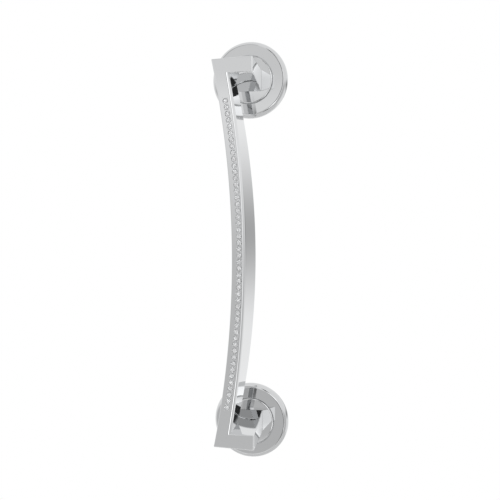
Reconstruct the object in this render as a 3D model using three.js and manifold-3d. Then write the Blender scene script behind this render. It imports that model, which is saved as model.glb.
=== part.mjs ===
// Suction grab bar: a slim bowed handle, set with a row of crystals, on two round twist-lock suction bases.
// Units are millimetres. +Z runs up along the bar, the wall is the plane Y = 0, and the bar stands off
// towards -Y. The origin is on the wall, midway between the two bases.
import * as THREE from "three";
import { mergeVertices } from "three/addons/utils/BufferGeometryUtils.js";
import Module from "manifold-3d";

const wasm = await Module();
wasm.setup();

// ---- Driving dimensions ----
const BASE_SPACING = 350; // between the centres of the two suction bases
const PROJECTION = 72; // wall to the bar's front face
const BASE_HEIGHT = 12.8; // wall to the front of a suction base
const COLLAR_R = 38.7; // outside radius of the twist collar, at half its height
const BOSS_R = 23.7; // radius of the fixed disc that the post stands on
const GAP = 0.3; // running and seating clearance between neighbouring pieces
const DRAW_TRAVEL = 2.5; // how far a quarter turn of the collar lifts the cup's middle off the wall

const BAR_DEPTH = 29; // front face to back face of the bar
const EDGE_BEVEL = 0.7; // around the front face

// The bar's long edges and its row of crystals, each an arc: X at mid-length and radius of the bow.
const LEFT_FRONT = { x: -6.1, radius: 920 };
const LEFT_BACK = { x: 3.7, radius: 920 };
const RIGHT_FRONT = { x: 7.5, radius: 990 };
const RIGHT_BACK = { x: 12.2, radius: 760 };
const CRYSTAL_ROW = { x: 1.7, radius: 860 };

const END_LEFT_Z = 186.7; // half length at the outer, pointed corner
const END_RIGHT_Z = 188.4; // half length over the arms
const ARM_INNER_Z = 173.4; // inner face of an arm, at the front
const ARM_RIGHT = 15.5; // right face of an arm, at the front

// Foot of the post where it meets the boss: left, right, inner and outer faces from the base's centre.
const FOOT = { left: -10.9, right: 12.7, inner: 11.8, outer: 9.9 };

const CRYSTALS = 49;
const CRYSTAL_PITCH = 6.12;
const CRYSTAL_R = 2.45;
const CROWN = 0.35; // how far a stone stands proud of the bar's face
const STONE_SIDES = 6;
const GROOVE = { width: 5.2, depth: 1.8, margin: 0.8 };
const STRIP_THICKNESS = 0.9;

const SPRING_BORE = { radius: 5.0, depth: 19 }; // blind bore in the post for the return spring
const POST_SCREWS = [
  { name: "a", x: 7.6, z: 6.6 },
  { name: "b", x: -7.6, z: -6.6 },
];
const POST_SCREW = { radius: 2.0, head: 3.5, seat: 7.8, reach: 9 }; // reach: thread engagement in the post
const CORE_SCREW_ANGLES = [90, 135, 270, 315];
const CORE_SCREW = { circle: 14.5, radius: 1.5, head: 2.3, low: 5.9, high: 11.6 };
const STEM_R = 4.0;
const RETURN_SPRING = { radius: 3.7, wire: 0.45, low: 0.9, high: 18.8, turns: 5, perTurn: 10 };
const YOKE = { length: 43, width: 4, thickness: 1.3, rest: 7.9 };
const CAM = { inner: 18, outer: 22.3, base: 6.2 };
const WIPER = { inner: 34.1, outer: 35.5, low: 5.7, high: 6.9 };
const DETENT = { circle: 29, radius: 1.6, ball: 1.4, height: 8.7 };
const DETENT_SPRING = { radius: 1.1, wire: 0.25, low: 5.4, high: 7.1, turns: 2, perTurn: 8 };

const ROUND = 32; // facets around the large round pieces
const SMALL_ROUND = 12; // facets around drillings and fasteners
const ARC_STEPS = 22; // chords along the bar's bow

// ---- Materials ----
function finish(color, roughness, metalness) {
  return new THREE.MeshStandardMaterial({ color, roughness, metalness });
}
const CHROME = finish(0xd9dbdd, 0.06, 1);
const CRYSTAL = finish(0xf2f5f8, 0.03, 0);
const RUBBER = finish(0x2b2c2e, 0.75, 0);
const NYLON = finish(0x3b3e42, 0.6, 0);
const ACETAL = finish(0xe7e6e0, 0.45, 0);
const STEEL = finish(0xa9acb0, 0.35, 1);

// ---- Geometry helpers ----
function solidFrom(geometry) {
  const bare = geometry.clone();
  bare.deleteAttribute("normal");
  bare.deleteAttribute("uv");
  const merged = mergeVertices(bare, 1e-4);
  return new wasm.Manifold(
    new wasm.Mesh({
      numProp: 3,
      vertProperties: new Float32Array(merged.attributes.position.array),
      triVerts: new Uint32Array(merged.index.array),
    }),
  );
}

function geometryFrom(solid) {
  const mesh = solid.getMesh();
  const geometry = new THREE.BufferGeometry();
  geometry.setAttribute("position", new THREE.BufferAttribute(mesh.vertProperties, 3));
  geometry.setIndex(new THREE.BufferAttribute(mesh.triVerts, 1));
  geometry.computeVertexNormals();
  return geometry;
}

function cut(geometry, ...tools) {
  let solid = solidFrom(geometry);
  for (const tool of tools) solid = solid.subtract(solidFrom(tool));
  return geometryFrom(solid);
}

function join(...geometries) {
  let solid = solidFrom(geometries[0]);
  for (const more of geometries.slice(1)) solid = solid.add(solidFrom(more));
  return geometryFrom(solid);
}

// A closed ring or disc turned about Y. The outline's points are [radius, height], listed anticlockwise.
function turned(points, segments = ROUND) {
  const profile = points.map(([r, h]) => new THREE.Vector2(r, h));
  if (points[0][0] > 0 || points[points.length - 1][0] > 0) profile.push(profile[0].clone());
  return new THREE.LatheGeometry(profile, segments);
}

const ring = (inner, outer, low, high, segments) =>
  turned([[inner, low], [outer, low], [outer, high], [inner, high]], segments);

// A round rod or drill along Y.
const rod = (radius, low, high, x = 0, z = 0, segments = SMALL_ROUND) =>
  new THREE.CylinderGeometry(radius, radius, high - low, segments).translate(x, (low + high) / 2, z);

const block = (width, low, high, depth) =>
  new THREE.BoxGeometry(width, high - low, depth).translate(0, (low + high) / 2, 0);

// A solid through matching outlines at successive depths. Each section is { y, points: [[x, z], ...] }, with
// the points anticlockwise as seen from the front and the sections listed from front to back.
function loft(sections) {
  const count = sections[0].points.length;
  const position = sections.flatMap(({ y, points }) => points.flatMap(([x, z]) => [x, y, z]));
  const index = [];
  for (let s = 0; s + 1 < sections.length; s++) {
    for (let i = 0; i < count; i++) {
      const a = s * count + i;
      const b = s * count + ((i + 1) % count);
      index.push(a, a + count, b, b, a + count, b + count);
    }
  }
  const cap = ({ points }) => {
    const outline = points.map(([x, z]) => new THREE.Vector2(x, z));
    return THREE.ShapeUtils.triangulateShape(outline, []);
  };
  const last = (sections.length - 1) * count;
  for (const [a, b, c] of cap(sections[0])) index.push(a, b, c);
  for (const [a, b, c] of cap(sections[sections.length - 1])) index.push(last + a, last + c, last + b);
  const geometry = new THREE.BufferGeometry();
  geometry.setAttribute("position", new THREE.Float32BufferAttribute(position, 3));
  geometry.setIndex(index);
  return geometry;
}

// The outline pulled in by a distance, every corner along the bisector of its two edges.
function inset(points, distance) {
  const count = points.length;
  return points.map((p, i) => {
    const here = new THREE.Vector2(...p);
    const into = here.clone().sub(new THREE.Vector2(...points[(i + count - 1) % count])).normalize();
    const out = new THREE.Vector2(...points[(i + 1) % count]).sub(here).normalize();
    const normalIn = new THREE.Vector2(-into.y, into.x);
    const normalOut = new THREE.Vector2(-out.y, out.x);
    const bisector = normalIn.clone().add(normalOut).normalize();
    const moved = here.addScaledVector(bisector, distance / bisector.dot(normalIn));
    return [moved.x, moved.y];
  });
}

// ---- The handle ----
const mix = (a, b, t) => a + (b - a) * t;
const onArc = ({ x, radius }, z) => x - (radius - Math.sqrt(radius ** 2 - z ** 2));

// Value of a post face at a depth behind the front, between its front and its foot on the boss.
const alongPost = (front, foot, depth) => mix(front, foot, depth / (PROJECTION - BASE_HEIGHT));

// Points along an edge of the bar that lies a share of the way from its front arc to its back arc.
function arc(front, back, share, fromZ, toZ) {
  const steps = Array.from({ length: ARC_STEPS + 1 }, (_, i) => mix(fromZ, toZ, i / ARC_STEPS));
  return steps.map((z) => [mix(onArc(front, z), onArc(back, z), share), z]);
}

// The C-shaped outline of the bar and its two arms at a depth behind the front face.
function barOutline(depth) {
  const half = BASE_SPACING / 2;
  const share = depth / BAR_DEPTH;
  const inner = alongPost(ARM_INNER_Z, half - FOOT.inner, depth);
  const outer = alongPost(END_RIGHT_Z, half + FOOT.outer, depth);
  const corner = END_LEFT_Z - (END_RIGHT_Z - outer);
  const right = alongPost(ARM_RIGHT, FOOT.right, depth);
  return [
    [right, outer],
    ...arc(LEFT_FRONT, LEFT_BACK, share, corner, -corner),
    [right, -outer],
    [right, -inner],
    ...arc(RIGHT_FRONT, RIGHT_BACK, share, -inner, inner),
    [right, inner],
  ];
}

const POST_ROOT = 1.5; // how far a post runs into the back of its arm

function post(side) {
  const half = BASE_SPACING / 2;
  const section = (depth, shrink) => {
    const left = FOOT.left + shrink;
    const right = alongPost(ARM_RIGHT, FOOT.right, depth) - shrink;
    const inner = alongPost(ARM_INNER_Z, half - FOOT.inner, depth) + shrink;
    const outer = alongPost(END_RIGHT_Z, half + FOOT.outer, depth) - shrink;
    const points = [[left, side * inner], [right, side * inner], [right, side * outer], [left, side * outer]];
    if (side < 0) points.reverse();
    return { y: depth - PROJECTION, points };
  };
  return loft([
    section(BAR_DEPTH - POST_ROOT, 0.4),
    section(BAR_DEPTH, 0),
    section(PROJECTION - BASE_HEIGHT - GAP, 0),
  ]);
}

// A slot cutter, or with a smaller width the strip that lies in the slot, following the row of crystals.
function alongRow(width, front, back, halfLength) {
  const edge = (offset, fromZ, toZ) => {
    const side = { x: CRYSTAL_ROW.x + offset, radius: CRYSTAL_ROW.radius };
    return arc(side, side, 0, fromZ, toZ);
  };
  const points = [...edge(width / 2, -halfLength, halfLength), ...edge(-width / 2, halfLength, -halfLength)];
  return loft([{ y: front, points }, { y: back, points }]);
}

const rowHalfLength = ((CRYSTALS - 1) * CRYSTAL_PITCH) / 2 + CRYSTAL_R + GROOVE.margin;

function handleCasting() {
  const front = -PROJECTION;
  const body = loft([
    { y: front, points: inset(barOutline(0), EDGE_BEVEL) },
    { y: front + EDGE_BEVEL, points: barOutline(EDGE_BEVEL) },
    { y: front + BAR_DEPTH, points: barOutline(BAR_DEPTH) },
  ]);
  const foot = BASE_HEIGHT + GAP;
  const drills = [];
  for (const side of [1, -1]) {
    const centre = (side * BASE_SPACING) / 2;
    drills.push(rod(SPRING_BORE.radius, -foot - SPRING_BORE.depth, 0, 0, centre));
    for (const { x, z } of POST_SCREWS) {
      const end = -foot - POST_SCREW.reach - 1;
      drills.push(rod(POST_SCREW.radius + GAP, end, 0, side * x, centre - side * z));
    }
  }
  const groove = alongRow(GROOVE.width, front - 1, front + GROOVE.depth, rowHalfLength);
  return cut(join(body, post(1), post(-1)), groove, ...drills);
}

// The crystals are six-sided stones on one carrier strip.
function crystalStrip() {
  const front = -PROJECTION;
  const seat = front + GROOVE.depth - STRIP_THICKNESS - GAP;
  const strip = alongRow(GROOVE.width - 2 * GAP, seat, front + GROOVE.depth - GAP, rowHalfLength - GAP);
  const girdle = CRYSTAL_R * 0.92;
  const table = CRYSTAL_R * 0.55;
  const low = front - CROWN;
  const high = seat + 0.2; // into the strip
  const stone = new THREE.CylinderGeometry(girdle, table, high - low, STONE_SIDES, 1);
  const stones = Array.from({ length: CRYSTALS }, (_, i) => {
    const z = (i - (CRYSTALS - 1) / 2) * CRYSTAL_PITCH;
    return stone.clone().translate(onArc(CRYSTAL_ROW, z), (low + high) / 2, z);
  });
  return join(strip, ...stones);
}

// ---- A suction base, in its own frame: +Y runs out from the wall and the wall is Y = 0 ----
function boss() {
  const hub = turned([
    [STEM_R + GAP, 7.6], [17.5, 7.6], [17.5, 12.0], [BOSS_R - 0.6, 12.0], [BOSS_R, 12.2],
    [BOSS_R, BASE_HEIGHT - 0.3], [BOSS_R - 0.3, BASE_HEIGHT], [STEM_R + GAP, BASE_HEIGHT],
  ]);
  const yokeTop = YOKE.rest + YOKE.thickness + DRAW_TRAVEL + GAP;
  const yokeSlot = block(2 * BOSS_R, 7, yokeTop, YOKE.width + 2 * GAP);
  const postHoles = POST_SCREWS.flatMap(({ x, z }) => [
    rod(POST_SCREW.radius + GAP, 0, BASE_HEIGHT + 1, x, z),
    rod(POST_SCREW.head + GAP, 0, 10.3, x, z),
  ]);
  const coreHoles = coreScrewPlaces().map(([x, z]) =>
    rod(CORE_SCREW.radius + GAP, 0, CORE_SCREW.high + 0.4, x, z));
  return cut(hub, yokeSlot, ...postHoles, ...coreHoles);
}

function coreScrewPlaces() {
  return CORE_SCREW_ANGLES.map((degrees) => {
    const angle = THREE.MathUtils.degToRad(degrees);
    return [CORE_SCREW.circle * Math.cos(angle), CORE_SCREW.circle * Math.sin(angle)];
  });
}

function twistCollar() {
  return turned([
    [22.6, 6.4], [24.5, 6.4], [24.5, 10.4], [35.9, 10.4], [35.9, 0.6], [COLLAR_R - 1.4, 0.6],
    [COLLAR_R - 0.3, 4.2], [COLLAR_R, 7.0], [COLLAR_R - 0.6, 9.8], [COLLAR_R - 2.0, 11.8],
    [COLLAR_R - 4.6, BASE_HEIGHT], [BOSS_R + GAP + 0.3, BASE_HEIGHT], [BOSS_R + GAP, BASE_HEIGHT - 0.3],
    [BOSS_R + GAP, 11.6], [22.6, 11.6],
  ]);
}

// Two quarter-turn ramps, half a turn apart, on a flat ring.
function camRing() {
  const foot = YOKE.rest - GAP;
  const base = ring(CAM.inner, CAM.outer, CAM.base, foot, ROUND);
  const steps = 7;
  const rise = DRAW_TRAVEL / (Math.PI / 2); // per radian, so that the yoke's lift keeps pace with the collar
  const clearOfYoke = 0.16; // radians from the yoke's centreline to the foot of the ramp
  const yokeHalfAngle = YOKE.width / 2 / CAM.inner;
  const rampLength = Math.PI / 2 + yokeHalfAngle - clearOfYoke;
  const ramp = (start) => {
    const points = [];
    for (let i = 0; i <= steps; i++) {
      const along = (i / steps) * rampLength;
      const angle = start + along;
      const low = foot - 0.5;
      const top = foot + 0.05 + rise * along;
      for (const [radius, y] of [[CAM.inner, low], [CAM.outer, low], [CAM.outer, top], [CAM.inner, top]]) {
        points.push(radius * Math.cos(angle), y, -radius * Math.sin(angle));
      }
    }
    const index = [0, 1, 2, 0, 2, 3];
    for (let i = 0; i < steps; i++) {
      for (let k = 0; k < 4; k++) {
        const a = 4 * i + k;
        const b = 4 * i + ((k + 1) % 4);
        index.push(a, a + 4, b, b, a + 4, b + 4);
      }
    }
    const last = 4 * steps;
    index.push(last, last + 2, last + 1, last, last + 3, last + 2);
    const geometry = new THREE.BufferGeometry();
    geometry.setAttribute("position", new THREE.Float32BufferAttribute(points, 3));
    geometry.setIndex(index);
    return geometry;
  };
  return join(base, ramp(clearOfYoke), ramp(Math.PI + clearOfYoke));
}

function baseCore() {
  const body = turned([
    [11.3, 5.8], [17.5, 5.8], [22.5, 4.7], [29.5, 2.9], [31, 2.3], [34.9, 2.3], [34.9, 5.4], [33.9, 5.4],
    [33.9, 7.2], [34.9, 7.2], [34.9, 10.1], [24.8, 10.1], [24.8, 5.9], [17.7, 5.9], [17.7, 7.3], [11.3, 7.3],
  ]);
  const sinks = coreScrewPlaces().map(([x, z]) =>
    turned([[0, 5], [3.2, 5], [1.8, 7.0], [1.8, 8], [0, 8]], SMALL_ROUND).translate(x, 0, z));
  const detentHole = rod(DETENT.radius + GAP, 5.2, 11, 0, DETENT.circle);
  return cut(body, ...sinks, detentHole);
}

function suctionCup() {
  return turned([
    [0, 1.0], [12, 1.0], [22, 0.9], [31, 0.5], [33.2, 0], [34.9, 0], [35.3, 0.7], [35, 1.9], [31, 2.0],
    [22, 2.6], [11.0, 3.2], [10.6, 4.4], [8.6, 4.4], [8.5, 3.0], [0, 3.0],
  ]);
}

function drawStem() {
  const stem = turned([
    [0, 3.3], [8.2, 3.3], [8.2, 4.3], [STEM_R, 4.3], [STEM_R, BASE_HEIGHT + 0.6], [2.4, BASE_HEIGHT + 0.6],
    [2.4, BASE_HEIGHT + 9], [1.8, BASE_HEIGHT + 9.6], [0, BASE_HEIGHT + 9.6],
  ], 20);
  const slot = block(3 * STEM_R, YOKE.rest - GAP, YOKE.rest + YOKE.thickness + GAP, YOKE.width + 2 * GAP);
  return cut(stem, slot);
}

function liftYoke() {
  return block(YOKE.length, YOKE.rest, YOKE.rest + YOKE.thickness, YOKE.width);
}

// A wound spring along Y, as one tube along a helix.
function spring({ radius, wire, low, high, turns, perTurn }) {
  class Helix extends THREE.Curve {
    getPoint(t, target = new THREE.Vector3()) {
      const angle = 2 * Math.PI * turns * t;
      return target.set(radius * Math.cos(angle), mix(low + wire, high - wire, t), radius * Math.sin(angle));
    }
  }
  const sides = 5;
  const corners = Array.from({ length: sides }, (_, i) => {
    const angle = (2 * Math.PI * i) / sides;
    return new THREE.Vector2(wire * Math.cos(angle), wire * Math.sin(angle));
  });
  return new THREE.ExtrudeGeometry(new THREE.Shape(corners), {
    extrudePath: new Helix(),
    steps: turns * perTurn,
    bevelEnabled: false,
  });
}

function countersunkScrew(shank, head, low, high) {
  const sink = head - shank;
  return turned([
    [0, low], [head, low], [shank, low + 1.2 * sink], [shank, high - 0.5], [shank - 0.5, high], [0, high],
  ], SMALL_ROUND);
}

function panScrew(shank, head, low, high) {
  const top = low + 2.2;
  return turned([
    [0, low], [head - 0.5, low], [head, low + 0.5], [head, top], [shank, top], [shank, high - 0.6],
    [shank - 0.6, high], [0, high],
  ], SMALL_ROUND);
}

// ---- Assembly ----
const grabBar = new THREE.Group();
grabBar.name = "suction_grab_bar";

function add(parent, name, geometry, material) {
  const mesh = new THREE.Mesh(geometry, material);
  mesh.name = name;
  parent.add(mesh);
  return mesh;
}

add(grabBar, "handle_casting", handleCasting(), CHROME);
add(grabBar, "crystal_strip", crystalStrip(), CRYSTAL);

function addBase(prefix, side) {
  const base = new THREE.Group();
  base.position.z = (side * BASE_SPACING) / 2;
  // The base's own +Y turns to the part's -Y, and the lower base is the upper one turned end for end.
  base.rotation.set(Math.PI, side > 0 ? 0 : Math.PI, 0);
  grabBar.add(base);
  const piece = (name, geometry, material) => add(base, prefix + "_" + name, geometry, material);

  piece("boss", boss(), CHROME);
  piece("twist_collar", twistCollar(), CHROME);
  piece("cam_ring", camRing(), ACETAL);
  piece("base_core", baseCore(), NYLON);
  piece("suction_cup", suctionCup(), RUBBER);
  piece("draw_stem", drawStem(), STEEL);
  piece("lift_yoke", liftYoke(), STEEL);
  piece("return_spring", spring(RETURN_SPRING).translate(0, BASE_HEIGHT, 0), STEEL);
  piece("wiper_ring", ring(WIPER.inner, WIPER.outer, WIPER.low, WIPER.high, ROUND), RUBBER);
  piece("detent_spring", spring(DETENT_SPRING).translate(0, 0, DETENT.circle), STEEL);
  const ball = new THREE.SphereGeometry(DETENT.ball, 8, 6);
  piece("detent_ball", ball.translate(0, DETENT.height, DETENT.circle), STEEL);
  for (const { name, x, z } of POST_SCREWS) {
    const tip = BASE_HEIGHT + GAP + POST_SCREW.reach;
    const screw = panScrew(POST_SCREW.radius, POST_SCREW.head, POST_SCREW.seat, tip);
    piece("post_screw_" + name, screw.translate(x, 0, z), STEEL);
  }
  coreScrewPlaces().forEach(([x, z], i) => {
    const screw = countersunkScrew(CORE_SCREW.radius, CORE_SCREW.head, CORE_SCREW.low, CORE_SCREW.high);
    piece("core_screw_" + (i + 1), screw.translate(x, 0, z), STEEL);
  });
}

addBase("upper", 1);
addBase("lower", -1);

export default grabBar;
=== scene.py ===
"""A slim bowed grab bar in polished chrome, its front face set with a row of crystals, on two round
twist-lock suction bases. Lengths are in millimetres and become metres as each mesh is made."""
import math

import bmesh
import bpy
from mathutils import Matrix, Vector


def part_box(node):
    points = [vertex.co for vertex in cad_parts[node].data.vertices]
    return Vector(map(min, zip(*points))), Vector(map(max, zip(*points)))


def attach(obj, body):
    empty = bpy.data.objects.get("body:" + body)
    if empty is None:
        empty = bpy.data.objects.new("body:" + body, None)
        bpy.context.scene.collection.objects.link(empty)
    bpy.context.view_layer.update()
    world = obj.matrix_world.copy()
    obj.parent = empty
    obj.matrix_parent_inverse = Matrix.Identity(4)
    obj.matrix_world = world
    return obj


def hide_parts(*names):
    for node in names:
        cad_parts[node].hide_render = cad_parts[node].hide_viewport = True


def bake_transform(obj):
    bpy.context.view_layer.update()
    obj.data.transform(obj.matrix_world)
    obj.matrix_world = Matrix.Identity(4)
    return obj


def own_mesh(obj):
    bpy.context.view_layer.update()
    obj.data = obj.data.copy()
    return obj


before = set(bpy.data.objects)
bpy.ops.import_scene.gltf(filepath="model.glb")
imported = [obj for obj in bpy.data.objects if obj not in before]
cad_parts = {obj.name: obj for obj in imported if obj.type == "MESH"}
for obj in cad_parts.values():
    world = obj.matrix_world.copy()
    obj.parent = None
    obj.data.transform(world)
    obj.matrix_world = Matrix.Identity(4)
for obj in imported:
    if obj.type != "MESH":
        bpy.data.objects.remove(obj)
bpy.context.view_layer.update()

MM = 0.001
SIDES = {"upper": 1, "lower": -1}


def node_box(name):
    """A CAD node's lowest and highest corners, in millimetres."""
    low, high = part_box(name)
    return low / MM, high / MM


# ---- Dimensions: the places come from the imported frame, the shaping from the design ----
boss_low, boss_high = node_box("upper_boss")
bar_low, bar_high = node_box("handle_casting")
collar_low, collar_high = node_box("upper_twist_collar")
HALF_SPACING = (boss_low.z + boss_high.z) / 2
BASE_HEIGHT = -collar_low.y
COLLAR_R = collar_high.x
BOSS_R = boss_high.x
FRONT = bar_low.y
FOOT = bar_high.y
PROJECTION = -FRONT
GAP = 0.3

BAR_DEPTH = 29
# The bar's long edges and its row of crystals, each an arc: X at mid-length and radius of the bow.
LEFT_FRONT = (-6.1, 920)
LEFT_BACK = (3.7, 920)
RIGHT_FRONT = (7.5, 990)
RIGHT_BACK = (12.2, 760)
CRYSTAL_ROW = (1.7, 860)
END_RIGHT_Z = bar_high.z
END_LEFT_Z = END_RIGHT_Z - 1.7
ARM_INNER_Z = END_RIGHT_Z - 15
ARM_RIGHT = bar_high.x
POST_LEFT = -10.9
POST_RIGHT = 12.7
POST_INNER = 11.8
POST_OUTER = 9.9
ARC_STEPS = 150
# Rounding of the casting's edges.
ROUND_GRIP = 3.0
ROUND_LEFT = 1.5
ROUND_ARM = 1.2
ROUND_END = 0.9
ROUND_BACK = 0.9
ROUND_INNER = 0.45

CRYSTALS = 49
CRYSTAL_PITCH = 6.12
CRYSTAL_R = 2.45
SEAT_R = 2.6
SEAT_DEPTH = 1.7
BEAD_R = 0.42

SPRING_BORE_R = 5
SPRING_BORE_DEPTH = 19
POST_SCREWS = [(7.6, 6.6), (-7.6, -6.6)]
POST_SCREW_R = 2.0
POST_SCREW_HEAD_R = 3.8
POST_SCREW_HEAD_TOP = 10.3
POST_SCREW_REACH = 9
CORE_SCREW_ANGLES = [90, 135, 270, 315]
CORE_SCREW_CIRCLE = 14.5
CORE_SCREW_R = 1.5
STEM_R = 4.0
YOKE_WIDTH = 4
YOKE_TOP = 9.2
DRAW_TRAVEL = 2.5
SPRING = {"radius": 3.7, "wire": 0.45, "low": 0.9, "high": 18.8, "turns": 7, "per_turn": 28, "sides": 10}

# The front edge of the boss rolls over in a quarter ellipse, and the collar's rim in a longer curve.
BOSS_EDGE_WIDTH = 1.6
BOSS_EDGE_LOW = 12.1
RIM_WIDTH = 4.6
RIM_MIDDLE = 7
RIM_HEIGHT = 5.8
RIM_TUCK = 1.15
RIM_ANGLES = (-68, 79)

ROUND = 160
SMALL_ROUND = 32
SEAT_ROUND = 24
FILLET_STEPS = 6
BEVEL_STEPS = 5
BOSS_EDGE_STEPS = 8
RIM_STEPS = 32


# ---- Mesh building ----
def mix(a, b, t):
    return a + (b - a) * t


def base_matrix(side):
    """From a base's own frame, with its height along +Y from the wall, to the part's frame in millimetres."""
    turn = Matrix.Rotation(math.pi, 4, "X")
    if side < 0:
        turn = turn @ Matrix.Rotation(math.pi, 4, "Y")
    return Matrix.Translation((0, 0, side * HALF_SPACING)) @ turn


def crisp_normals(mesh, smooth=3, sharp=50):
    """Custom normals that keep each broad face true and let only the narrow rounded edges turn between them.

    Faces that meet within `smooth` degrees form one surface. At a vertex the largest surface rules, or the
    average where they are alike. Edges beyond `sharp` degrees stay hard. A face without area has no normal,
    and its edges count as halfway between the two, so that it neither joins surfaces nor parts them."""
    sliver = math.radians((smooth + sharp) / 2)
    bm = bmesh.new()
    bm.from_mesh(mesh)
    bm.faces.ensure_lookup_table()
    bm.normal_update()

    def angle(edge):
        if len(edge.link_faces) != 2:
            return 180.0
        return math.degrees(edge.link_faces[0].normal.angle(edge.link_faces[1].normal, sliver))

    surface = [-1] * len(bm.faces)
    areas = []
    for seed in bm.faces:
        if surface[seed.index] >= 0:
            continue
        surface[seed.index] = len(areas)
        total, stack = 0.0, [seed]
        while stack:
            face = stack.pop()
            total += face.calc_area()
            for edge in face.edges:
                if angle(edge) < smooth:
                    for other in edge.link_faces:
                        if surface[other.index] < 0:
                            surface[other.index] = len(areas)
                            stack.append(other)
        areas.append(total)

    hard = {edge.index for edge in bm.edges if angle(edge) > sharp}
    normals = {}
    for vert in bm.verts:
        left = set(vert.link_faces)
        while left:
            fan, stack = set(), [next(iter(sorted(left, key=lambda f: f.index)))]
            while stack:
                face = stack.pop()
                if face in fan:
                    continue
                fan.add(face)
                for edge in vert.link_edges:
                    if edge.index not in hard and face in edge.link_faces:
                        stack.extend(f for f in edge.link_faces if f not in fan)
            left -= fan
            most = max(areas[surface[f.index]] for f in fan)
            total = Vector()
            for face in sorted(fan, key=lambda f: f.index):
                if areas[surface[face.index]] > most / 3:
                    corner = next(loop for loop in face.loops if loop.vert == vert)
                    total += face.normal * corner.calc_angle()
            for face in fan:
                normals[(face.index, vert.index)] = total.normalized() if total.length > 1e-9 else face.normal
    bm.free()
    mesh.polygons.foreach_set("use_smooth", [True] * len(mesh.polygons))
    mesh.normals_split_custom_set([
        normals[(polygon.index, mesh.loops[i].vertex_index)]
        for polygon in mesh.polygons for i in polygon.loop_indices
    ])


def new_object(name, bm, materials):
    """A Blender object from a mesh in millimetres."""
    bmesh.ops.remove_doubles(bm, verts=bm.verts, dist=1e-5)
    bmesh.ops.recalc_face_normals(bm, faces=bm.faces)
    bmesh.ops.scale(bm, vec=(MM, MM, MM), verts=bm.verts)
    mesh = bpy.data.meshes.new(name)
    bm.to_mesh(mesh)
    bm.free()
    obj = bpy.data.objects.new(name, mesh)
    bpy.context.scene.collection.objects.link(obj)
    for material in materials:
        mesh.materials.append(material)
    return obj


def apply_modifier(obj, kind, **settings):
    modifier = obj.modifiers.new(kind.title(), kind)
    for key, value in settings.items():
        setattr(modifier, key, value)
    bpy.context.view_layer.update()
    evaluated = obj.evaluated_get(bpy.context.evaluated_depsgraph_get())
    mesh = bpy.data.meshes.new_from_object(evaluated)
    old = obj.data
    mesh.name = old.name
    obj.modifiers.remove(modifier)
    obj.data = mesh
    bpy.data.meshes.remove(old)


def subtract(obj, cutters):
    """Cuts closed shapes, all in one mesh, out of an object."""
    tool = new_object(obj.name + "_cutter", cutters, [])
    apply_modifier(obj, "BOOLEAN", operation="DIFFERENCE", object=tool, solver="EXACT")
    mesh = tool.data
    bpy.data.objects.remove(tool)
    bpy.data.meshes.remove(mesh)


def rounded(points):
    """The outline with an arc at every corner that has a radius. Each point is (x, y) or (x, y, radius)."""
    out = []
    count = len(points)
    for i, point in enumerate(points):
        here = Vector(point[:2])
        if len(point) < 3:
            out.append(here)
            continue
        before = (Vector(points[i - 1][:2]) - here).normalized()
        after = (Vector(points[(i + 1) % count][:2]) - here).normalized()
        half = before.angle(after) / 2
        reach = point[2] / math.tan(half)
        centre = here + (before + after).normalized() * (point[2] / math.sin(half))
        start, end = here + before * reach, here + after * reach
        for k in range(FILLET_STEPS + 1):
            arm = (start - centre).slerp(end - centre, k / FILLET_STEPS)
            out.append(centre + arm * point[2])
    return out


def add_turned(bm, points, matrix, segments=ROUND):
    """Adds a shape turned about the base's axis. The outline is closed, or starts and ends on the axis."""
    outline = rounded(points)
    rings = []
    for p in outline:
        if p.x < 1e-6:
            rings.append([bm.verts.new(matrix @ Vector((0, p.y, 0)))])
            continue
        angles = [2 * math.pi * k / segments for k in range(segments)]
        places = [Vector((p.x * math.cos(a), p.y, p.x * math.sin(a))) for a in angles]
        rings.append([bm.verts.new(matrix @ place) for place in places])
    closed = outline[0].x > 1e-6 or outline[-1].x > 1e-6
    for i in range(len(rings) if closed else len(rings) - 1):
        first, second = rings[i], rings[(i + 1) % len(rings)]
        for k in range(segments):
            n = (k + 1) % segments
            near = [first[k % len(first)], first[n % len(first)]]
            far = [second[n % len(second)], second[k % len(second)]]
            unique = list(dict.fromkeys(near + far))
            if len(unique) > 2:
                bm.faces.new(unique)


def turned(name, points, matrix, materials):
    bm = bmesh.new()
    add_turned(bm, points, matrix)
    return new_object(name, bm, materials)


def add_rod(bm, radius, low, high, matrix, x=0.0, z=0.0):
    """Adds a round rod along the base's axis."""
    place = matrix @ Matrix.Translation((x, 0, z))
    add_turned(bm, [(0, low), (radius, low), (radius, high), (0, high)], place, SMALL_ROUND)


# ---- Materials ----
def node_material(name):
    material = bpy.data.materials.new(name)
    material.use_nodes = True
    nodes = material.node_tree.nodes
    return material, nodes, material.node_tree.links, nodes["Principled BSDF"]


def noise(nodes, links, scale, detail=3.0, stretch=(1, 1, 1)):
    """Noise in the object's own coordinates."""
    coordinates = nodes.new("ShaderNodeTexCoord")
    mapping = nodes.new("ShaderNodeMapping")
    mapping.inputs["Scale"].default_value = stretch
    texture = nodes.new("ShaderNodeTexNoise")
    texture.inputs["Scale"].default_value = scale
    texture.inputs["Detail"].default_value = detail
    links.new(coordinates.outputs["Object"], mapping.inputs["Vector"])
    links.new(mapping.outputs["Vector"], texture.inputs["Vector"])
    return texture.outputs["Fac"]


def ramp(nodes, links, source, stops):
    """Grey levels or colours against a source value."""
    node = nodes.new("ShaderNodeValToRGB")
    elements = node.color_ramp.elements
    while len(elements) < len(stops):
        elements.new(0.5)
    for element, (at, colour) in zip(elements, stops):
        element.position = at
        element.color = (*colour, 1) if isinstance(colour, tuple) else (colour, colour, colour, 1)
    links.new(source, node.inputs["Fac"])
    return node.outputs["Color"]


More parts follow.
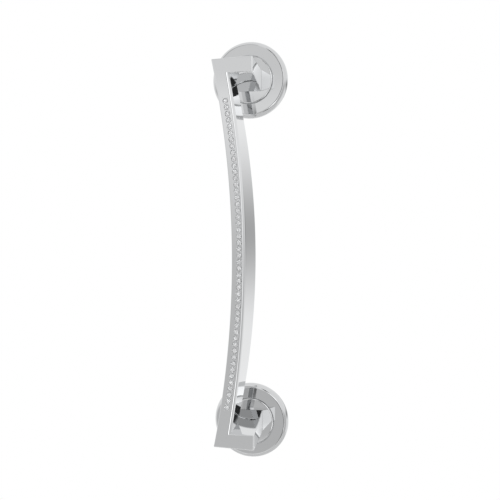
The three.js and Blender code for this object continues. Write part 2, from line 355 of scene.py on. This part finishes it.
def bump(nodes, links, shader, height, strength, distance):
    node = nodes.new("ShaderNodeBump")
    node.inputs["Strength"].default_value = strength
    node.inputs["Distance"].default_value = distance
    links.new(height, node.inputs["Height"])
    links.new(node.outputs["Normal"], shader.inputs["Normal"])


def chrome_material(name, brightness):
    """Mirror-polished chrome plate, with the faintest unevenness of tone and polish."""
    material, nodes, links, shader = node_material(name)
    shader.inputs["Metallic"].default_value = 1.0
    tone = noise(nodes, links, 9, 2)
    dull, bright = [tuple(brightness * shift * c for c in (0.985, 0.995, 1.005)) for shift in (0.985, 1.015)]
    links.new(ramp(nodes, links, tone, [(0.3, dull), (0.7, bright)]), shader.inputs["Base Color"])
    polish = noise(nodes, links, 160, 4)
    links.new(ramp(nodes, links, polish, [(0.35, 0.02), (0.75, 0.055)]), shader.inputs["Roughness"])
    return material


def brushed_material(name, dark, light, rough):
    """Plain stainless steel with fine turning marks."""
    material, nodes, links, shader = node_material(name)
    shader.inputs["Metallic"].default_value = 1.0
    grain = noise(nodes, links, 900, 4, (1, 8, 1))
    links.new(ramp(nodes, links, grain, [(0.3, dark), (0.7, light)]), shader.inputs["Base Color"])
    links.new(ramp(nodes, links, grain, [(0.3, rough), (0.7, rough + 0.12)]), shader.inputs["Roughness"])
    bump(nodes, links, shader, grain, 0.25, 0.00004)
    return material


def moulded_material(name, dark, light, rough, grain_scale, depth):
    """Moulded plastic or rubber: a slightly mottled colour with a fine surface grain."""
    material, nodes, links, shader = node_material(name)
    tone = noise(nodes, links, 45, 3)
    links.new(ramp(nodes, links, tone, [(0.3, dark), (0.7, light)]), shader.inputs["Base Color"])
    grain = noise(nodes, links, grain_scale, 4)
    roughness = ramp(nodes, links, grain, [(0.3, rough), (0.7, min(rough + 0.15, 1))])
    links.new(roughness, shader.inputs["Roughness"])
    bump(nodes, links, shader, grain, 0.4, depth)
    return material


def crystal_material():
    """Clear cut crystal, slightly milky so that the small facets read as light."""
    material, nodes, links, shader = node_material("cut_crystal")
    shader.inputs["Transmission Weight"].default_value = 0.5
    shader.inputs["IOR"].default_value = 1.56
    tone = noise(nodes, links, 300, 2)
    links.new(ramp(nodes, links, tone, [(0.3, (0.93, 0.95, 0.96)), (0.7, (0.99, 0.99, 1.0))]),
              shader.inputs["Base Color"])
    links.new(ramp(nodes, links, tone, [(0.3, 0.0), (0.7, 0.02)]), shader.inputs["Roughness"])
    return material


def foil_material():
    """The silvered back of each stone."""
    material, nodes, links, shader = node_material("silver_foil")
    shader.inputs["Metallic"].default_value = 1.0
    tone = noise(nodes, links, 500, 2)
    links.new(ramp(nodes, links, tone, [(0.3, 0.88), (0.7, 0.96)]), shader.inputs["Base Color"])
    links.new(ramp(nodes, links, tone, [(0.3, 0.12), (0.7, 0.2)]), shader.inputs["Roughness"])
    return material


BAR_CHROME = chrome_material("bar_chrome", 0.66)
CHROME = chrome_material("base_chrome", 0.6)
CRYSTAL = crystal_material()
FOIL = foil_material()
RUBBER = moulded_material("cup_rubber", (0.018, 0.018, 0.02), (0.032, 0.032, 0.034), 0.55, 700, 0.00008)
SEAL = moulded_material("seal_rubber", (0.014, 0.014, 0.015), (0.025, 0.025, 0.026), 0.6, 900, 0.00005)
NYLON = moulded_material("filled_nylon", (0.04, 0.043, 0.046), (0.06, 0.063, 0.067), 0.45, 1100, 0.00006)
ACETAL = moulded_material("natural_acetal", (0.68, 0.66, 0.6), (0.76, 0.75, 0.7), 0.32, 600, 0.00003)
STEEL = brushed_material("stainless_steel", 0.42, 0.55, 0.22)
WIRE = brushed_material("spring_wire", 0.3, 0.42, 0.28)


# ---- The handle ----
def on_arc(edge, z):
    x, radius = edge
    return x - (radius - math.sqrt(radius ** 2 - z ** 2))


def along_post(front, foot, depth):
    return mix(front, foot, depth / (PROJECTION - BASE_HEIGHT))


def arc(front, back, share, start, end):
    """Points along an edge of the bar that lies a share of the way from its front arc to its back arc."""
    steps = [mix(start, end, i / ARC_STEPS) for i in range(ARC_STEPS + 1)]
    return [(mix(on_arc(front, z), on_arc(back, z), share), z) for z in steps]


def bar_outline(depth):
    """The C-shaped outline of the bar and its arms at a depth behind the front, as named runs of points."""
    share = depth / BAR_DEPTH
    inner = along_post(ARM_INNER_Z, HALF_SPACING - POST_INNER, depth)
    outer = along_post(END_RIGHT_Z, HALF_SPACING + POST_OUTER, depth)
    corner = END_LEFT_Z - (END_RIGHT_Z - outer)
    right = along_post(ARM_RIGHT, POST_RIGHT, depth)
    left = arc(LEFT_FRONT, LEFT_BACK, share, corner, -corner)
    post_edge = mix(corner, outer, (POST_LEFT - left[0][0]) / (right - left[0][0]))
    return {
        "top": [(right, outer), (POST_LEFT, post_edge)],
        "left": left,
        "bottom": [(POST_LEFT, -post_edge), (right, -outer)],
        "arm": [(right, -inner)],
        "right": arc(RIGHT_FRONT, RIGHT_BACK, share, -inner, inner),
        "close": [(right, inner)],
    }


def handle_solid():
    """The bar, arms and posts as one closed mesh, each edge carrying the radius that it is rounded to."""
    bm = bmesh.new()
    radius_layer = bm.edges.layers.float.new("bevel_weight_edge")

    def ring_of(depth):
        y = FRONT + depth
        outline = bar_outline(depth)
        return {run: [bm.verts.new((x, y, z)) for x, z in points] for run, points in outline.items()}

    def mark(radius, *chain):
        for a, b in zip(chain, chain[1:]):
            bm.edges.get((a, b))[radius_layer] = radius / ROUND_GRIP

    front, back = ring_of(0), ring_of(BAR_DEPTH)
    loops = [[v for run in ring.values() for v in run] for ring in (front, back)]
    for i in range(len(loops[0])):
        n = (i + 1) % len(loops[0])
        bm.faces.new([loops[0][i], loops[1][i], loops[1][n], loops[0][n]])
    bm.faces.new(loops[0])

    inner = along_post(ARM_INNER_Z, HALF_SPACING - POST_INNER, BAR_DEPTH)
    top_corner = bm.verts.new((POST_LEFT, FRONT + BAR_DEPTH, inner))
    low_corner = bm.verts.new((POST_LEFT, FRONT + BAR_DEPTH, -inner))
    bm.faces.new([back["top"][1], *back["left"], back["bottom"][0], low_corner, *back["right"], top_corner])

    foot_in, foot_out = HALF_SPACING - POST_INNER, HALF_SPACING + POST_OUTER
    for side, root in (
        (1, [back["top"][0], back["top"][1], top_corner, back["right"][-1], back["close"][0]]),
        (-1, [back["bottom"][1], back["bottom"][0], low_corner, back["right"][0], back["arm"][0]]),
    ):
        middle = mix(POST_RIGHT, POST_LEFT, 0.7)
        places = [(POST_RIGHT, foot_out), (POST_LEFT, foot_out), (POST_LEFT, foot_in), (middle, foot_in),
                  (POST_RIGHT, foot_in)]
        foot = [bm.verts.new((x, FOOT, side * z)) for x, z in places]
        for i in range(len(root)):
            n = (i + 1) % len(root)
            bm.faces.new([root[i], root[n], foot[n], foot[i]])
        bm.faces.new(foot)
        for i in (0, 1, 2, 4):
            mark(ROUND_BACK, root[i], foot[i])

    mark(ROUND_LEFT, *front["left"])
    mark(ROUND_GRIP, *front["right"])
    mark(ROUND_END, *front["top"], front["left"][0])
    mark(ROUND_END, front["left"][-1], *front["bottom"])
    mark(ROUND_ARM, front["close"][0], front["top"][0])
    mark(ROUND_ARM, front["bottom"][1], front["arm"][0])
    mark(ROUND_INNER, front["arm"][0], front["right"][0])
    mark(ROUND_INNER, front["right"][-1], front["close"][0])
    mark(ROUND_BACK, back["top"][1], *back["left"], back["bottom"][0])
    mark(ROUND_BACK, *back["right"])
    for run, i in (("top", 0), ("left", 0), ("left", -1), ("bottom", 1), ("arm", 0), ("close", 0)):
        mark(ROUND_BACK, front[run][i], back[run][i])
    return bm


def handle():
    """The casting with its edges rounded, a seat for every crystal, and the drillings in its feet."""
    obj = new_object("handle", handle_solid(), [BAR_CHROME])
    apply_modifier(obj, "BEVEL", width=ROUND_GRIP * MM, segments=BEVEL_STEPS, limit_method="WEIGHT",
                   use_clamp_overlap=True)

    cutters = bmesh.new()
    for z in crystal_places():
        seat = Matrix.Translation((on_arc(CRYSTAL_ROW, z), FRONT, z))
        add_turned(cutters, [(0, -1), (SEAT_R + 0.15, -1), (SEAT_R + 0.15, 0), (SEAT_R, 0.15), (SEAT_R, 0.7),
                             (SEAT_R - 1.2, SEAT_DEPTH), (0, SEAT_DEPTH)], seat, SEAT_ROUND)
    for side in SIDES.values():
        drill = base_matrix(side)
        foot_height = -FOOT
        add_rod(cutters, SPRING_BORE_R, foot_height - 2, foot_height + SPRING_BORE_DEPTH, drill)
        for x, z in POST_SCREWS:
            end = foot_height + POST_SCREW_REACH + 1
            add_rod(cutters, POST_SCREW_R + GAP, foot_height - 2, end, drill, x, z)
    subtract(obj, cutters)
    crisp_normals(obj.data)
    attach(obj, "bar")
    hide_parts("handle_casting")


def crystal_places():
    return [(i - (CRYSTALS - 1) / 2) * CRYSTAL_PITCH for i in range(CRYSTALS)]


def crystals():
    """Round brilliant-cut stones, clear in front and silvered behind."""
    bm = bmesh.new()
    table_r, table_y = 0.56 * CRYSTAL_R, -0.32
    star_r, star_y = 0.78 * CRYSTAL_R, -0.02
    girdle_y, girdle_low = 0.32, 0.45
    lower_r, lower_y = 0.5 * CRYSTAL_R, 1.0
    culet_y = 1.45
    for number, z in enumerate(crystal_places()):
        turn = Matrix.Translation((on_arc(CRYSTAL_ROW, z), FRONT, z)) @ Matrix.Rotation(number * 0.9, 4, "Y")

        def circle(radius, y, count, shift):
            angles = [2 * math.pi * (k + shift) / count for k in range(count)]
            places = [Vector((radius * math.cos(a), y, radius * math.sin(a))) for a in angles]
            return [bm.verts.new(turn @ place) for place in places]

        table = circle(table_r, table_y, 8, 0)
        star = circle(star_r, star_y, 8, 0.5)
        girdle = circle(CRYSTAL_R, girdle_y, 16, 0)
        under = circle(CRYSTAL_R, girdle_low, 16, 0)
        lower = circle(lower_r, lower_y, 8, 0.5)
        culet = bm.verts.new(turn @ Vector((0, culet_y, 0)))
        bm.faces.new(table)
        foil = []
        for k in range(8):
            n = (k + 1) % 8
            bm.faces.new([table[k], table[n], star[k]])
            bm.faces.new([table[k], star[k - 1], girdle[2 * k], star[k]])
            bm.faces.new([star[k], girdle[2 * k], girdle[2 * k + 1]])
            bm.faces.new([star[k], girdle[2 * k + 1], girdle[(2 * k + 2) % 16]])
            foil.append(bm.faces.new([lower[k], under[2 * k + 1], under[2 * k]]))
            foil.append(bm.faces.new([lower[k], under[(2 * k + 2) % 16], under[2 * k + 1]]))
            foil.append(bm.faces.new([lower[k - 1], lower[k], under[2 * k]]))
            foil.append(bm.faces.new([culet, lower[n], lower[k]]))
        for k in range(16):
            n = (k + 1) % 16
            bm.faces.new([girdle[k], girdle[n], under[n], under[k]])
        for face in foil:
            face.material_index = 1
    obj = new_object("crystals", bm, [CRYSTAL, FOIL])
    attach(obj, "bar")
    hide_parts("crystal_strip")


def beads():
    """Small beads of the handle's metal that hold the stones, two between each pair and at the ends."""
    bm = bmesh.new()
    rows = CRYSTALS + 1
    reach = 2.15
    for i in range(rows):
        z = (i - (rows - 1) / 2) * CRYSTAL_PITCH
        for side in (-1, 1):
            spot = Matrix.Translation((on_arc(CRYSTAL_ROW, z) + side * reach, FRONT + 0.1, z))
            made = bmesh.ops.create_uvsphere(bm, u_segments=12, v_segments=8, radius=BEAD_R, matrix=spot)
            bmesh.ops.scale(bm, vec=(1, 0.9, 1), space=spot.inverted(), verts=made["verts"])
    obj = new_object("setting_beads", bm, [BAR_CHROME])
    obj.data.polygons.foreach_set("use_smooth", [True] * len(obj.data.polygons))
    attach(obj, "bar")


# ---- The bases ----
def core_screw_places():
    angles = [math.radians(a) for a in CORE_SCREW_ANGLES]
    return [(CORE_SCREW_CIRCLE * math.cos(a), CORE_SCREW_CIRCLE * math.sin(a)) for a in angles]


def boss(prefix, matrix):
    """The fixed disc in the middle of a base, its front edge rounded over towards the collar."""
    edge = []
    for step in range(BOSS_EDGE_STEPS + 1):
        angle = math.radians(90 * step / BOSS_EDGE_STEPS)
        height = BOSS_EDGE_LOW + (BASE_HEIGHT - BOSS_EDGE_LOW) * math.sin(angle)
        edge.append((BOSS_R - BOSS_EDGE_WIDTH * (1 - math.cos(angle)), height))
    outline = [(STEM_R + GAP, 7.6), (17.5, 7.6), (17.5, 12.0), (BOSS_R - 0.6, 12.0), *edge,
               (STEM_R + GAP, BASE_HEIGHT)]
    obj = turned(prefix + "_boss_disc", outline, matrix, [CHROME])
    cutters = bmesh.new()
    yoke_top = YOKE_TOP + DRAW_TRAVEL + GAP
    slot_low = 7.0
    slot = matrix @ Matrix.Translation((0, (slot_low + yoke_top) / 2, 0))
    size = Matrix.Diagonal((2 * BOSS_R, yoke_top - slot_low, YOKE_WIDTH + 2 * GAP, 1))
    bmesh.ops.create_cube(cutters, size=1, matrix=slot @ size)
    for x, z in POST_SCREWS:
        add_rod(cutters, POST_SCREW_R + GAP, 5, 20, matrix, x, z)
        add_rod(cutters, POST_SCREW_HEAD_R, 5.5, POST_SCREW_HEAD_TOP, matrix, x, z)
    for x, z in core_screw_places():
        add_rod(cutters, CORE_SCREW_R + GAP, 6, 12.0, matrix, x, z)
    subtract(obj, cutters)
    crisp_normals(obj.data)
    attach(obj, "bar")
    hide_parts(prefix + "_boss")


def collar(prefix, matrix):
    """The turning ring, with a broad soft edge outside and a narrow chamfer beside the boss."""
    inner = BOSS_R + GAP
    rim = []
    for step in range(RIM_STEPS + 1):
        angle = math.radians(mix(*RIM_ANGLES, step / RIM_STEPS))
        tuck = 1 if angle > 0 else RIM_TUCK
        height = RIM_MIDDLE + RIM_HEIGHT * math.sin(angle) * tuck
        rim.append((COLLAR_R - RIM_WIDTH * (1 - math.cos(angle)), height))
    outline = [(22.6, 6.4), (24.5, 6.4), (24.5, 10.4), (35.9, 10.4), (35.9, 0.6), *rim,
               (COLLAR_R - RIM_WIDTH, BASE_HEIGHT), (inner + 0.7, BASE_HEIGHT), (inner, BASE_HEIGHT - 0.5),
               (inner, 11.6), (22.6, 11.6)]
    obj = turned(prefix + "_collar_ring", outline, matrix, [CHROME])
    crisp_normals(obj.data, sharp=9)
    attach(obj, prefix + "_collar")
    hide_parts(prefix + "_twist_collar")


def cup(prefix, matrix):
    """The suction cup: a thin sealing lip, moulded rings inside, and a thick middle that the stem lifts."""
    rings = []
    for radius in (28, 25, 22, 19, 16):
        rings += [(radius, 0.95, 0.2), (radius - 0.4, 0.65, 0.2), (radius - 0.8, 0.95, 0.2)]
    under = [(0, 1.0), (12, 1.0), *reversed(rings), (31, 0.5), (33.2, 0.02)]
    lip = [(34.9, 0.02, 0.15), (35.3, 0.7, 0.3), (35, 1.9, 0.4)]
    top = [(31, 2.0), (22, 2.6), (11.0, 3.2), (10.6, 4.4, 0.3), (8.6, 4.4), (8.5, 3.0), (0, 3.0)]
    outline = [*under, *lip, *top]
    obj = turned(prefix + "_cup", outline, matrix, [RUBBER])
    crisp_normals(obj.data)
    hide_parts(prefix + "_suction_cup")
    return obj


def spring(prefix, matrix):
    """The return spring behind the stem, with closed ends."""
    low, high = BASE_HEIGHT + SPRING["low"], BASE_HEIGHT + SPRING["high"]
    radius, wire = SPRING["radius"], SPRING["wire"]
    turns, sides = SPRING["turns"], SPRING["sides"]
    bm = bmesh.new()
    rings = []
    count = turns * SPRING["per_turn"]
    for i in range(count + 1):
        t = i / count
        eased = min(max((t * turns - 1) / (turns - 2), 0), 1)
        first = 2 * wire * min(t * turns, 1)
        last = 2 * wire * min((1 - t) * turns, 1)
        height = mix(low + wire + first, high - wire - last, eased)
        angle = 2 * math.pi * turns * t
        outward = Vector((math.cos(angle), 0, math.sin(angle)))
        centre = outward * radius + Vector((0, height, 0))
        ring = []
        for k in range(sides):
            a = 2 * math.pi * k / sides
            point = centre + outward * wire * math.cos(a) + Vector((0, wire * math.sin(a), 0))
            ring.append(bm.verts.new(matrix @ point))
        rings.append(ring)
    for first, second in zip(rings, rings[1:]):
        for k in range(sides):
            n = (k + 1) % sides
            bm.faces.new([first[k], first[n], second[n], second[k]])
    bm.faces.new(rings[0])
    bm.faces.new(rings[-1])
    obj = new_object(prefix + "_coil_spring", bm, [WIRE])
    obj.data.polygons.foreach_set("use_smooth", [True] * len(obj.data.polygons))
    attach(obj, "bar")
    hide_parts(prefix + "_return_spring")
    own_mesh(obj)


NODE_FINISHES = {
    "cam_ring": ACETAL, "base_core": NYLON, "draw_stem": STEEL, "lift_yoke": STEEL, "wiper_ring": SEAL,
    "detent_spring": WIRE, "detent_ball": STEEL, "post_screw_a": STEEL, "post_screw_b": STEEL,
    "core_screw_1": STEEL, "core_screw_2": STEEL, "core_screw_3": STEEL, "core_screw_4": STEEL,
}


def base(prefix):
    matrix = base_matrix(SIDES[prefix])
    boss(prefix, matrix)
    collar(prefix, matrix)
    spring(prefix, matrix)
    piece = cup(prefix, matrix)
    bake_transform(piece)
    for name, material in NODE_FINISHES.items():
        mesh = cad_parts[prefix + "_" + name].data
        mesh.materials.clear()
        mesh.materials.append(material)


# ---- Surroundings ----
# Softboxes and dark gaps between them: left and right azimuths, measured to the right of straight ahead of
# the bar, low and high elevations and the width of the soft edges, all in degrees, and the level.
PANELS = [
    (-60, -4, 8, 24, 3, 0.92),
    (-60, -4, -55, -19, 6, 1.05),
    (-60, -4, 24, 50, 6, 0.6),
    (-5, 3.5, -22, 16, 3, 0.2),
    (6, 26, -24, 18, 3, 1.4),
    (8, 26, -24, -16, 3, 2.2),
    (8, 26, 10, 18, 3, 2.0),
    (9, 22, -44, -27, 4, 0.06),
    (9, 22, 28, 46, 4, 0.06),
]


FLOOR_RADIUS = 1500
FLOOR_HEIGHT = -1.1  # metres
CAMERA_PLACE = (0.1713, -0.8445, 0.0469)  # metres
CAMERA_LENS = 59.8
CAMERA_TURN = 11.63  # degrees, to the left
CAMERA_TILT = -3.01
CAMERA_ROLL = 0.24


def look(azimuth, elevation):
    """The unit vector that a camera turned left by `azimuth` and up by `elevation` degrees looks along."""
    a, e = math.radians(azimuth), math.radians(elevation)
    return Vector((-math.sin(a) * math.cos(e), math.cos(a) * math.cos(e), math.sin(e)))


def camera():
    data = bpy.data.cameras.new("camera")
    data.sensor_width = 36
    data.lens = CAMERA_LENS
    data.clip_start = 0.01
    obj = bpy.data.objects.new("camera", data)
    obj.location = CAMERA_PLACE
    aim = look(CAMERA_TURN, CAMERA_TILT).to_track_quat("-Z", "Y").to_matrix()
    turn = aim @ Matrix.Rotation(-math.radians(CAMERA_ROLL), 3, "Z")
    obj.rotation_euler = turn.to_euler()
    bpy.context.scene.collection.objects.link(obj)
    bpy.context.scene.camera = obj


def floor():
    """A pale round floor, well below the bar as it hangs."""
    bm = bmesh.new()
    bmesh.ops.create_circle(bm, cap_ends=True, segments=96, radius=FLOOR_RADIUS)
    obj = new_object("floor", bm, [])
    obj.location.z = FLOOR_HEIGHT
    material, nodes, links, shader = node_material("pale_floor")
    tone = noise(nodes, links, 3, 3)
    links.new(ramp(nodes, links, tone, [(0.3, 0.8), (0.7, 0.84)]), shader.inputs["Base Color"])
    shader.inputs["Roughness"].default_value = 0.7
    obj.data.materials.append(material)


def studio():
    """White behind the object, and for what the chrome mirrors a grey dome with panels fixed in the world."""
    world = bpy.data.worlds.new("studio")
    bpy.context.scene.world = world
    world.use_nodes = True
    nodes, links = world.node_tree.nodes, world.node_tree.links
    nodes.clear()
    coordinates = nodes.new("ShaderNodeTexCoord")
    split = nodes.new("ShaderNodeSeparateXYZ")
    links.new(coordinates.outputs["Generated"], split.inputs["Vector"])
    x, y, z = split.outputs["X"], split.outputs["Y"], split.outputs["Z"]

    def math_node(operation, *values):
        node = nodes.new("ShaderNodeMath")
        node.operation = operation
        for socket, value in zip(node.inputs, values):
            if isinstance(value, (int, float)):
                socket.default_value = value
            else:
                links.new(value, socket)
        return node.outputs["Value"]

    def rise(source, low, high, bottom=0.0, top=1.0, shape="SMOOTHSTEP"):
        node = nodes.new("ShaderNodeMapRange")
        node.interpolation_type = shape
        for socket, value in (("From Min", low), ("From Max", high), ("To Min", bottom), ("To Max", top)):
            node.inputs[socket].default_value = value
        links.new(source, node.inputs["Value"])
        return node.outputs["Result"]

    def blend(share, first, second):
        """Goes from the first level to the second as the share goes from 0 to 1."""
        change = math_node("SUBTRACT", second, first)
        return math_node("ADD", first, math_node("MULTIPLY", share, change))

    def window(source, low, high, edge):
        """1 between two values, with soft edges."""
        inside = rise(source, low - edge / 2, low + edge / 2)
        return math_node("MULTIPLY", inside, rise(source, high - edge / 2, high + edge / 2, 1.0, 0.0))

    degrees = 180 / math.pi
    azimuth = math_node("MULTIPLY", math_node("ARCTAN2", x, math_node("MULTIPLY", y, -1)), degrees)
    elevation = math_node("MULTIPLY", math_node("ARCSINE", z), degrees)
    front = rise(z, -0.06, 0.12, 0.7, 1.08, "LINEAR")
    level = blend(rise(y, -0.4, 0.2), front, 1.08)
    horizon = rise(x, 0.2, 0.9, 0.63, 0.36)
    off_horizon = math_node("ABSOLUTE", math_node("ADD", z, 0.01))
    behind_right = blend(rise(off_horizon, 0.0, 0.2), horizon, 1.1)
    level = blend(window(azimuth, 100, 185, 40), level, behind_right)
    for left, right, low, high, edge, panel in PANELS:
        share = math_node("MULTIPLY", window(azimuth, left, right, edge), window(elevation, low, high, edge))
        level = blend(share, level, panel)
    dome = nodes.new("ShaderNodeBackground")
    links.new(level, dome.inputs["Color"])
    backdrop = nodes.new("ShaderNodeBackground")
    backdrop.inputs["Color"].default_value = (1, 1, 1, 1)
    path = nodes.new("ShaderNodeLightPath")
    choice = nodes.new("ShaderNodeMixShader")
    links.new(path.outputs["Is Camera Ray"], choice.inputs["Fac"])
    links.new(dome.outputs["Background"], choice.inputs[1])
    links.new(backdrop.outputs["Background"], choice.inputs[2])
    output = nodes.new("ShaderNodeOutputWorld")
    links.new(choice.outputs["Shader"], output.inputs["Surface"])
    bpy.context.scene.view_settings.view_transform = "Standard"


camera()
floor()
studio()
handle()
crystals()
beads()
for prefix in SIDES:
    base(prefix)
